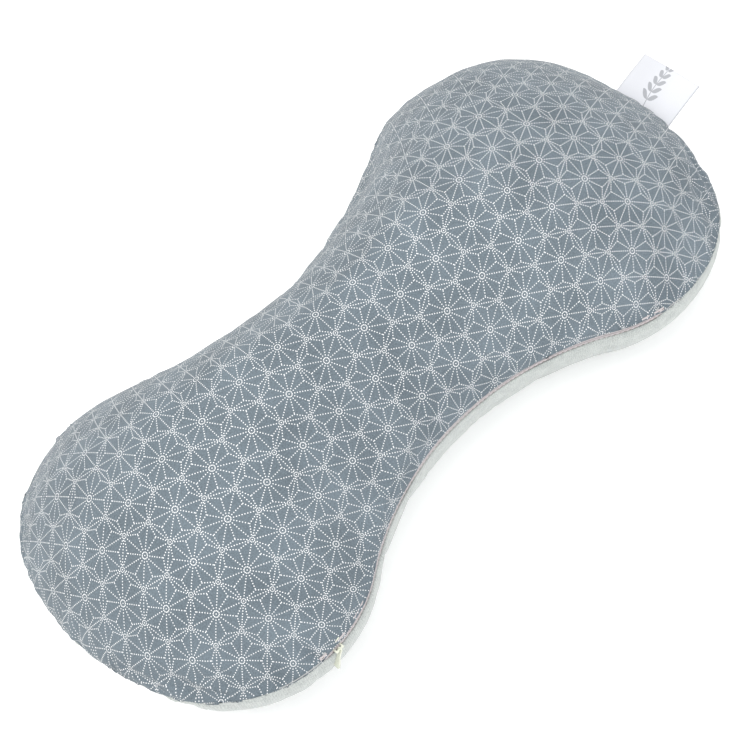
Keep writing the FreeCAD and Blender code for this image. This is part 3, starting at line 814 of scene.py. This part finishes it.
def satin_label(name):
    """White satin ribbon with a grey printed sprig: a bowed stem and pairs of pointed leaves."""
    material, graph, shader, look = new_material(name)
    m = graph.math
    uv = graph.cloth_uv()
    x, y, _ = graph.split(uv)
    weave = graph.group(once(effect_weave), {"Vector": uv, "Threads": 5200.0})
    stem_foot, stem_tall, stem_half, stem_bow = 0.004, 0.036, 0.0004, 0.0018
    leaf_gap, leaf_long, leaf_taper, leaf_lean = 0.0074, 0.0106, 0.14, 0.75
    up = m("SUBTRACT", y, stem_foot)
    bow = m("MULTIPLY", m("SINE", m("MULTIPLY", up, math.pi / stem_tall)), stem_bow)
    away = m("ABSOLUTE", m("SUBTRACT", x, bow))
    on_stem = m("MULTIPLY", m("GREATER_THAN", up, 0.0), m("LESS_THAN", up, stem_tall))
    stem = m("MULTIPLY", m("LESS_THAN", away, stem_half), on_stem)
    run = m("SUBTRACT", up, m("MULTIPLY", away, leaf_lean))
    off = m("SUBTRACT", run, m("MULTIPLY", m("ROUND", m("DIVIDE", run, leaf_gap)), leaf_gap))
    share = m("DIVIDE", away, m("SUBTRACT", leaf_long, m("MULTIPLY", up, leaf_taper)))
    half = m("MULTIPLY", m("MULTIPLY", share, m("SUBTRACT", 1.0, share)), leaf_long)
    first, last = 0.5 * leaf_gap, stem_tall + 0.3 * leaf_gap
    in_row = m("MULTIPLY", m("GREATER_THAN", run, first), m("LESS_THAN", run, last))
    leaf = m("MULTIPLY", m("LESS_THAN", m("ABSOLUTE", off), half), in_row)
    leaf = m("MULTIPLY", leaf, m("LESS_THAN", share, 1.0))
    ground = graph.mix(weave.outputs["Shade"], colour(look.satin, 0.95), colour(look.satin, 1.03))
    edge = graph.ramp(x, -0.0310, -0.0316)
    ground = graph.mix(m("MULTIPLY", edge, 0.35), ground, colour(look.sprig))
    ink = m("MULTIPLY", m("MAXIMUM", stem, leaf), 0.9)
    fill_shader(
        graph, shader,
        Base_Color=graph.mix(ink, ground, colour(look.sprig)),
        Normal=graph.bump(weave.outputs["Height"], 0.00003, 0.5),
        Roughness=0.38,
        Anisotropic=0.4,
        Sheen_Weight=0.2,
    )
    return material


def casing_cloth(name):
    """Plain white cotton of the inner cushion."""
    material, graph, shader, look = new_material(name)
    weave = graph.group(once(effect_weave), {"Vector": graph.place(), "Threads": 1800.0})
    fill_shader(
        graph, shader,
        Base_Color=graph.mix(weave.outputs["Shade"], colour(look.casing, 0.88), colour(look.casing, 1.08)),
        Normal=graph.bump(weave.outputs["Height"], 0.0001, 0.5),
        Roughness=0.9,
        Sheen_Weight=0.2,
    )
    return material


# ---------------------------------------------------------------- settings


def measure(name, description, default):
    """A setting that is a length."""
    return FloatProperty(name=name, description=description, default=default, unit="LENGTH")


def tint(name, description, *default):
    """A setting that is a colour, given as red, green and blue."""
    return FloatVectorProperty(name=name, description=description, default=default, subtype="COLOR")


class PillowSizes(bpy.types.PropertyGroup):
    rows: IntProperty(name="Rows", description="Rows of points along each cover panel", default=360, min=60)
    columns: IntProperty(name="Columns", description="Points across each cover panel", default=120, min=30)
    cloth: measure("Cloth thickness", "Thickness of the cover's cloth", 0.0011)
    bulge: measure("Seam bulge", "How far the cloth stands out beside the seam", 0.0014)
    pucker: measure("Pucker depth", "Depth of the small gathers along the seam", 0.0011)
    pucker_reach: measure("Pucker reach", "How far the gathers run in from the seam", 0.017)
    lump: measure("Lump height", "Height of the broad lumps of the stuffing", 0.0007)
    zip_gap: measure("Zip gap", "Half the width of the opening that shows the zip tape", 0.0026)
    pressure: FloatProperty(name="Pressure", description="Air pressure in the cloth simulation", default=4.0)
    cap: measure("Most movement", "Furthest that the simulation may move a point", 0.004)
    growth: FloatProperty(
        name="Spare cloth", description="Share by which the cloth is larger than its shape", default=0.012)


class PillowColours(bpy.types.PropertyGroup):
    cotton: tint("Cotton", "Ground colour of the printed cotton", 0.150, 0.186, 0.213)
    stitch: tint("Stitch print", "Colour of the printed stitches", 0.98, 0.98, 0.98)
    star_spacing: measure("Star spacing", "Distance between neighbouring star centres", 0.03857)
    star_turn: FloatProperty(
        name="Star turn", description="Turn of the print on the cloth, in degrees", default=1.9)
    star_shift: FloatVectorProperty(
        name="Star shift", description="Shift of the print on the cloth", size=2, default=(-0.0038, 0.0086),
        subtype="TRANSLATION")
    dot_radius: measure("Dot radius", "Radius of one printed stitch", 0.00046)
    jersey_light: tint("Jersey light", "Light fibres of the marl jersey", 0.59, 0.62, 0.595)
    jersey_dark: tint("Jersey dark", "Dark fibres of the marl jersey", 0.36, 0.385, 0.38)
    tape: tint("Tape", "Zip tape", 0.56, 0.52, 0.53)
    tape_thread: tint("Tape thread", "Stitches on the zip tape", 0.20, 0.16, 0.13)
    seam_thread: tint("Seam thread", "Thread of the seams and tacks", 0.42, 0.43, 0.43)
    tape_stitch: measure("Stitch row", "Where the row of stitches lies on the tape", 0.0015)
    pull: tint("Pull", "Enamel of the zip pull", 0.70, 0.72, 0.60)
    stop: tint("Stop", "Metal of the zip stops", 0.40, 0.36, 0.30)
    satin: tint("Satin", "Satin ribbon of the side label", 0.74, 0.75, 0.79)
    sprig: tint("Sprig", "Printed sprig on the label", 0.36, 0.37, 0.40)
    casing: tint("Casing", "Inner cushion's cotton", 0.80, 0.79, 0.76)
    floor: tint("Floor", "Floor", 0.93, 0.93, 0.93)


# ---------------------------------------------------------------- relief of the cover


def zip_window(place, margin=0.012):
    """1 where the seam holds the zip and 0 elsewhere, with a short smooth change at both ends."""
    return smooth((place - ZIP_START) / margin + 0.5) * smooth((ZIP_FINISH - place) / margin + 0.5)


def ripple(run, length_of_wave, phase):
    """A wave along a run: the sine of one turn for each length of the wave, plus a phase."""
    return np.sin(2.0 * math.pi * run / length_of_wave + phase)


def gathers(place):
    """Uneven small waves along the seam: three waves that drift in and out of step."""
    drift = 1.7 * ripple(place, 0.113, 0.6) + 1.1 * ripple(place, 0.071, 0.0)
    wave = ripple(place, 0.0172, drift) + 0.7 * ripple(place, 0.0271, 1.4 * drift + 2.0)
    return wave * (0.55 + 0.45 * ripple(place, 0.147, 1.0) * ripple(place, 0.061, 0.3))


# Single folds: how far round the seam from the zip's start, depth, half width, reach, and slant.
FOLDS = (
    (-0.004, 0.0046, 0.0036, 0.026, -0.30),
    (-0.014, 0.0020, 0.0038, 0.016, 0.20),
    (-0.036, 0.0028, 0.0034, 0.022, -0.15),
    (-0.050, 0.0020, 0.0030, 0.015, 0.10),
    (-0.076, 0.0026, 0.0036, 0.020, 0.15),
    (-0.104, 0.0016, 0.0040, 0.018, -0.10),
    (-0.134, 0.0020, 0.0036, 0.020, 0.0),
    (-0.166, 0.0026, 0.0036, 0.022, -0.15),
    (-0.208, 0.0022, 0.0040, 0.020, 0.10),
    (-0.240, 0.0018, 0.0042, 0.018, 0.0),
    (0.060, 0.0014, 0.0060, 0.018, 0.20),
    (0.128, 0.0012, 0.0070, 0.020, -0.10),
    (0.215, 0.0013, 0.0060, 0.020, 0.15),
    (0.300, 0.0012, 0.0065, 0.020, -0.20),
    (0.421, 0.0032, 0.0030, 0.020, 0.25),
    (0.452, 0.0020, 0.0040, 0.020, -0.20),
    (0.490, 0.0022, 0.0036, 0.024, 0.10),
    (0.520, 0.0026, 0.0034, 0.026, 0.0),
    (0.552, 0.0022, 0.0040, 0.022, 0.20),
    (0.600, 0.0020, 0.0040, 0.022, -0.10),
    (0.660, 0.0024, 0.0044, 0.030, 0.30),
)


def fading(away, reach):
    """1 at the seam, and falling inwards as a bell does."""
    return np.exp(-((away / reach) ** 2))


def folds(place, away):
    """Soft sharp-bottomed valleys that start at the seam and die out inwards, each on its own slant."""
    total = SEAM_RUN[-1]
    depth = np.zeros_like(place)
    for start, deep, half, reach, slant in FOLDS:
        across = (place - ZIP_START - start - slant * away + total / 2.0) % total - total / 2.0
        depth += deep * np.exp(-np.abs(across / half) ** 1.5) * fading(away, reach)
    return depth


def wander(place):
    """The seam's own slow rise and fall along its length, less where the zip holds it straight."""
    rise = 0.0011 * ripple(place, 0.137, 0.7) + 0.0008 * ripple(place, 0.082, 2.1)
    return rise * (1.0 - 0.6 * zip_window(place))


def stuffing_lumps(points):
    """Broad low lumps of the stuffing: slow waves in both directions multiplied together."""
    x, y = points[:, 0], points[:, 1]
    one = ripple(x / 0.121 + y / 0.30, 1.0, 0.5) * ripple(y / 0.098 - x / 0.41, 1.0, 0.0)
    two = ripple(x / 0.071 - y / 0.17, 1.0, 2.0) * ripple(y / 0.066, 1.0, 1.0)
    return one + 0.45 * two


def add_relief(piece, direction):
    """Moves the cloth along its normals: it swells beside the seam, gathers, folds, and opens at the zip."""
    sizes = bpy.context.scene.pillow_sizes
    points = read_points(piece.data)
    normals = read_normals(piece.data)
    inset, place = seam_place(points[:, 0], points[:, 1])
    away = np.hypot(inset, points[:, 2] - SEAM_HEIGHT)
    lobe = smooth((np.abs(points[:, 0]) - LOBE_START) / LOBE_CHANGE)
    swell = sizes.bulge * (1.0 - np.exp(-away / SWELL_START)) * fading(away, SWELL_REACH)
    wave = sizes.pucker * gathers(place) * (0.25 + 0.75 * lobe)
    wave *= (1.0 - fading(away, PUCKER_START)) * np.exp(-((away / sizes.pucker_reach) ** 1.4))
    fold_start = FOLD_START + FOLD_START_ZIP * zip_window(place, FOLD_ZIP_MARGIN)
    valley = folds(place, away) * (1.0 - fading(away, fold_start))
    lumps = sizes.lump * stuffing_lumps(points) * smooth(away / LUMP_START) * (direction > 0.0)
    points += normals * (swell + wave - valley + lumps)[:, None]
    points[:, 2] += wander(place) * fading(away, WANDER_REACH)
    points[:, 2] += direction * sizes.zip_gap * zip_window(place) * fading(away, ZIP_GAP_REACH)
    points[:, 2] = np.maximum(points[:, 2], FLOOR_CLEARANCE)
    write_points(piece.data, points)


def finish_piece(piece, body, nodes):
    """Puts a piece on the body it rides on, and hides the CAD nodes it stands for."""
    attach(piece, body)
    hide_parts(*nodes)


# ---------------------------------------------------------------- operators


class PILLOW_OT_stage(bpy.types.Operator):
    """Make the camera, the lights and the floor"""

    bl_idname = "pillow.stage"
    bl_label = "Stage"

    def execute(self, context):
        scene = context.scene
        scene.view_settings.view_transform = "Standard"
        right = np.array(CAMERA_RIGHT)
        back = np.array(CAMERA_BACK)
        back /= np.linalg.norm(back)
        right -= back * (right @ back)
        right /= np.linalg.norm(right)
        up = np.cross(back, right)
        place = np.array(CAMERA_TARGET) + CAMERA_DISTANCE * back
        place += CAMERA_MOVED[0] * right + CAMERA_MOVED[1] * up
        lens = bpy.data.cameras.new("camera")
        lens.lens = CAMERA_LENS
        lens.sensor_width = 36.0
        lens.clip_end = 50.0
        camera = bpy.data.objects.new("camera", lens)
        turn = Matrix((right, up, back)).transposed().to_4x4()
        camera.matrix_world = Matrix.Translation(Vector(place)) @ turn
        scene.collection.objects.link(camera)
        scene.camera = camera

        for name, spot, size, power, warmth in LIGHTS:
            lamp = bpy.data.lights.new(name, "AREA")
            lamp.shape = "DISK"
            lamp.size = size
            lamp.energy = power
            lamp.color = warmth
            holder = bpy.data.objects.new(name, lamp)
            holder.location = spot
            towards = Vector(CAMERA_TARGET) - Vector(spot)
            holder.rotation_euler = towards.to_track_quat("-Z", "Y").to_euler()
            scene.collection.objects.link(holder)

        world = bpy.data.worlds.new("studio")
        scene.world = world
        world.use_nodes = True
        sky = world.node_tree.nodes["Background"]
        sky.inputs["Color"].default_value = (1.0, 1.0, 1.0, 1.0)
        sky.inputs["Strength"].default_value = WORLD_LIGHT

        material, graph, shader, look = new_material("floor")
        soft = graph.noise(graph.place(), 3.0, 2.0)
        fill_shader(
            graph, shader,
            Base_Color=graph.mix(soft, colour(look.floor, 0.99), colour(look.floor, 1.01)),
            Roughness=0.9,
            Specular_IOR_Level=0.1,
            Emission_Color=colour(look.floor),
            Emission_Strength=FLOOR_GLOW,
        )
        corners = [(a * FLOOR_SIDE, b * FLOOR_SIDE, 0.0) for a, b in ((-1, -1), (1, -1), (1, 1), (-1, 1))]
        floor = new_piece("floor", corners, [[0, 1, 2, 3]], None, material, False)
        return {"FINISHED"}


def run_across(points):
    """Length along the surface of each row of points, from its first point."""
    step = np.linalg.norm(np.diff(points, axis=1), axis=2)
    return np.concatenate([np.zeros((len(points), 1)), np.cumsum(step, axis=1)], axis=1)


def lay_print(x, v, points):
    """Flat-cloth place of the top panel: along the ridge, and across from it along the surface. The sides are
    drawn towards the middle and the ends bow, as a flat panel does when it is pulled over the stuffing."""
    ridge = crown(x[:, 0], np.full(x.shape[0], RIDGE))
    along = np.concatenate([[0.0], np.cumsum(np.linalg.norm(np.diff(ridge, axis=0), axis=1))])
    along -= np.interp(0.0, x[:, 0], along)
    across = run_across(points)
    across -= np.array([np.interp(RIDGE, v[0], row) for row in across])[:, None]
    far = x / HALF
    wide = across / PRINT_HALF_WIDTH
    return np.stack([along[:, None] + PRINT_SIDE_BOW * far * wide**2, across + PRINT_END_BOW * far**2], -1)


def lay_jersey(x, v, points):
    """Flat-cloth place of the underside: lengthways as it lies, and across along the surface."""
    across = run_across(points)
    return np.stack([x, across - across[:, -1:] / 2.0], -1)


class PILLOW_OT_cover_top(bpy.types.Operator):
    """Make the printed top panel of the cover"""

    bl_idname = "pillow.cover_top"
    bl_label = "Printed top panel"

    def execute(self, context):
        sizes = context.scene.pillow_sizes
        piece, edge = panel_piece(
            "cover_top", crown, sizes.rows, sizes.columns, True, lay_print, once(printed_cotton))
        relax(piece, edge, sizes.pressure, sizes.cap, sizes.growth)
        add_relief(piece, 1.0)
        thicken(piece, sizes.cloth)
        finish_piece(piece, "pillow", ["cover_top_panel"])
        return {"FINISHED"}


class PILLOW_OT_cover_bottom(bpy.types.Operator):
    """Make the jersey underside of the cover"""

    bl_idname = "pillow.cover_bottom"
    bl_label = "Jersey underside"

    def execute(self, context):
        sizes = context.scene.pillow_sizes
        piece, edge = panel_piece(
            "cover_bottom", belly, sizes.rows, sizes.columns, False, lay_jersey, once(marl_jersey))
        points = read_points(piece.data)
        resting = np.nonzero(points[:, 2] < 0.001)[0]
        relax(piece, np.concatenate([edge, resting]), sizes.pressure, sizes.cap / 2.0, sizes.growth)
        add_relief(piece, -1.0)
        thicken(piece, sizes.cloth)
        finish_piece(piece, "pillow", ["cover_bottom_panel"])
        return {"FINISHED"}


class PILLOW_OT_inner_cushion(bpy.types.Operator):
    """Make the stuffed inner cushion"""

    bl_idname = "pillow.inner_cushion"
    bl_label = "Inner cushion"

    def execute(self, context):
        x, v = panel_grid(*CUSHION_GRID)
        middle = (side_line(x, -1) + side_line(x, 1)) / 2.0
        halves = []
        for surface in (crown, belly):
            points = surface(x, v)
            points[..., 0] *= 1.0 - CUSHION_GAP / HALF
            points[..., 1] = middle + (points[..., 1] - middle) * (1.0 - CUSHION_GAP / CUSHION_HALF_WIDTH)
            points[..., 2] = SEAM_HEIGHT + (points[..., 2] - SEAM_HEIGHT) * (1.0 - CUSHION_GAP / SEAM_HEIGHT)
            halves.append(points.reshape(-1, 3))
        faces = grid_faces(*x.shape)
        under = [[k + len(halves[0]) for k in face[::-1]] for face in faces]
        piece = new_piece("inner_cushion", np.concatenate(halves), faces + under, None, once(casing_cloth))
        weld = piece.modifiers.new("weld", "WELD")
        weld.merge_threshold = 0.00002
        remesh = piece.modifiers.new("remesh", "REMESH")
        remesh.mode = "VOXEL"
        remesh.voxel_size = CUSHION_VOXEL
        remesh.use_smooth_shade = True
        baked = bpy.data.meshes.new_from_object(piece.evaluated_get(context.evaluated_depsgraph_get()))
        piece.modifiers.clear()
        piece.data = baked
        relax(piece, [], CUSHION_PRESSURE, CUSHION_CAP, 0.0)
        casing = ["inner_casing_top", "inner_casing_bottom", "inner_casing_seam"]
        finish_piece(piece, "pillow", casing + ["filling_upper", "filling_lower"])
        return {"FINISHED"}


class PILLOW_OT_zip(bpy.types.Operator):
    """Make the zip's tapes"""

    bl_idname = "pillow.zip"
    bl_label = "Zip"

    def execute(self, context):
        places = np.linspace(ZIP_START - ZIP_PAST_END, ZIP_FINISH + ZIP_PAST_END, TAPE_STEPS)
        upper = np.array(TAPE_PROFILE)
        lower = upper[::-1] * (1.0, -1.0)
        for name, profile in (("zip_tape_upper", upper), ("zip_tape_lower", lower)):
            piece = swept_strip(name + "_cloth", places, profile, once(zip_tape))
            thicken(piece, TAPE_THICK)
            finish_piece(piece, "pillow", [name])
        return {"FINISHED"}


def teardrop():
    """A flat drop with an eye: between the eye's edge and the outline runs a rounded section, carried round the
    eye. The outline is the shape that a string makes round a small ring and a larger ring below it."""
    t = np.linspace(-1.0, 1.0, PULL_AROUND, endpoint=False)
    theta = math.pi * np.sign(t) * np.abs(t) ** PULL_CROWDING
    turned = np.abs(theta)
    touch = math.acos((PULL_BULB - PULL_EYE) / PULL_SPAN)
    low = math.atan2(PULL_BULB * math.sin(touch), PULL_SPAN + PULL_BULB * math.cos(touch))
    across = np.minimum(np.abs(PULL_SPAN * np.sin(turned)), PULL_BULB)
    bulb = PULL_SPAN * np.cos(turned) + np.sqrt(PULL_BULB**2 - across**2)
    line = PULL_EYE / np.cos(np.clip(turned - touch, -1.55, 1.55))
    reach = np.where(turned < low, bulb, np.where(turned < touch, line, PULL_EYE))
    phi = np.linspace(0.0, 2.0 * math.pi, PULL_SECTION, endpoint=False)
    share = 0.5 - 0.5 * np.sign(np.cos(phi)) * np.abs(np.cos(phi)) ** PULL_SQUARENESS
    rise = np.sign(np.sin(phi)) * np.abs(np.sin(phi)) ** PULL_SQUARENESS
    radius = PULL_HOLE + (reach[:, None] - PULL_HOLE) * share[None, :]
    thick = np.broadcast_to(PULL_THICK / 2.0 * rise[None, :], radius.shape)
    return radius * np.cos(theta)[:, None], radius * np.sin(theta)[:, None], thick


def turn_outwards(piece):
    """Makes the faces of a closed piece point outwards."""
    shape = bmesh.new()
    shape.from_mesh(piece.data)
    bmesh.ops.recalc_face_normals(shape, faces=shape.faces)
    shape.to_mesh(piece.data)
    shape.free()


class PILLOW_OT_pull(bpy.types.Operator):
    """Make the enamelled teardrop pull of the zip"""

    bl_idname = "pillow.pull"
    bl_label = "Zip pull"

    def execute(self, context):
        joint = JOINTS["pull_swing"]
        pivot = np.array(joint["pos_m"])
        tangent = -np.array(joint["axis"])
        out = np.array([tangent[1], -tangent[0], 0.0])
        lean = math.radians(PULL_LEAN)
        down = np.array([0.0, 0.0, -math.cos(lean)]) - math.sin(lean) * tangent
        face = np.cross(out, down)
        along, side, thick = teardrop()
        points = pivot + along[..., None] * down + side[..., None] * out + thick[..., None] * face
        faces = grid_faces(PULL_AROUND, PULL_SECTION, True, True)
        piece = new_piece("zip_pull_drop", points.reshape(-1, 3), faces, None, once(zip_enamel))
        turn_outwards(piece)
        finish_piece(piece, "pull", ["zip_pull_tab"])
        return {"FINISHED"}


class PILLOW_OT_label(bpy.types.Operator):
    """Make the folded satin side label"""

    bl_idname = "pillow.label"
    bl_label = "Side label"

    def execute(self, context):
        joint = JOINTS["label_flap"]
        root = np.array(joint["pos_m"])
        wide = np.array(joint["axis"])
        flat_out = np.array([wide[1], -wide[0], 0.0])
        lean = math.radians(LABEL_LEAN)
        out = math.cos(lean) * flat_out + math.sin(lean) * np.array([0.0, 0.0, 1.0])
        face = np.cross(out, wide)
        straight = LABEL_REACH + LABEL_HIDDEN
        half_turn = math.pi * LABEL_FOLD
        whole = 2.0 * straight + half_turn
        run, across = np.meshgrid(np.linspace(0.0, 1.0, 90) * whole, np.linspace(-0.5, 0.5, 41), indexing="ij")
        turn = np.clip((run - straight) / LABEL_FOLD, 0.0, math.pi)
        folding = np.where(run < straight + half_turn, straight + LABEL_FOLD * np.sin(turn), whole - run)
        along = np.where(run < straight, run, folding) - LABEL_HIDDEN
        share = np.clip(along / LABEL_REACH, 0.0, 1.0)
        lift = LABEL_FOLD * np.cos(turn) + LABEL_WAVE * share * ripple(across * 0.9 + 0.15, 1.0, 0.0)
        lift -= LABEL_CURL * share**2 * np.abs(across + 0.15)
        sideways = across * LABEL_WIDTH
        points = root + along[..., None] * out + sideways[..., None] * wide + lift[..., None] * face
        uv = np.stack([sideways, run - LABEL_HIDDEN], -1)
        piece = new_piece("side_label_ribbon", points.reshape(-1, 3), grid_faces(*run.shape),
                          uv.reshape(-1, 2), once(satin_label))
        thicken(piece, LABEL_THICK)
        finish_piece(piece, "label", ["side_label"])
        return {"FINISHED"}


class PILLOW_OT_small_parts(bpy.types.Operator):
    """Give the small CAD parts their finishes"""

    bl_idname = "pillow.small_parts"
    bl_label = "Small parts"

    def execute(self, context):
        finishes = {
            zip_coil: ("zip_coil_upper", "zip_coil_lower"),
            stop_metal: ("zip_stop_upper", "zip_stop_lower", "zip_stop_far"),
            sewing_thread: ("zip_tack_near", "zip_tack_far", "cover_seam_thread"),
            zip_enamel: ("zip_slider_body",),
            casing_cloth: ("care_label",),
        }
        for make, names in finishes.items():
            for name in names:
                materials = NODES[name].data.materials
                materials.clear()
                materials.append(once(make))
        return {"FINISHED"}


OPERATORS = (
    PILLOW_OT_stage,
    PILLOW_OT_inner_cushion,
    PILLOW_OT_cover_top,
    PILLOW_OT_cover_bottom,
    PILLOW_OT_zip,
    PILLOW_OT_pull,
    PILLOW_OT_label,
    PILLOW_OT_small_parts,
)


class PILLOW_PT_panel(bpy.types.Panel):
    """Lists the pillow's pieces in the sidebar"""

    bl_label = "Nursing pillow"
    bl_idname = "PILLOW_PT_panel"
    bl_space_type = "VIEW_3D"
    bl_region_type = "UI"
    bl_category = "Pillow"

    def draw(self, context):
        for operator in OPERATORS:
            self.layout.operator(operator.bl_idname)


CLASSES = (PillowSizes, PillowColours) + OPERATORS + (PILLOW_PT_panel,)


def register():
    for item in CLASSES:
        bpy.utils.register_class(item)
    bpy.types.Scene.pillow_sizes = PointerProperty(type=PillowSizes)
    bpy.types.Scene.pillow_colours = PointerProperty(type=PillowColours)


def unregister():
    del bpy.types.Scene.pillow_colours
    del bpy.types.Scene.pillow_sizes
    for item in reversed(CLASSES):
        bpy.utils.unregister_class(item)


def main():
    register()
    for operator in OPERATORS:
        group, name = operator.bl_idname.split(".")
        getattr(getattr(bpy.ops, group), name)()


if __name__ == "__main__":
    main()
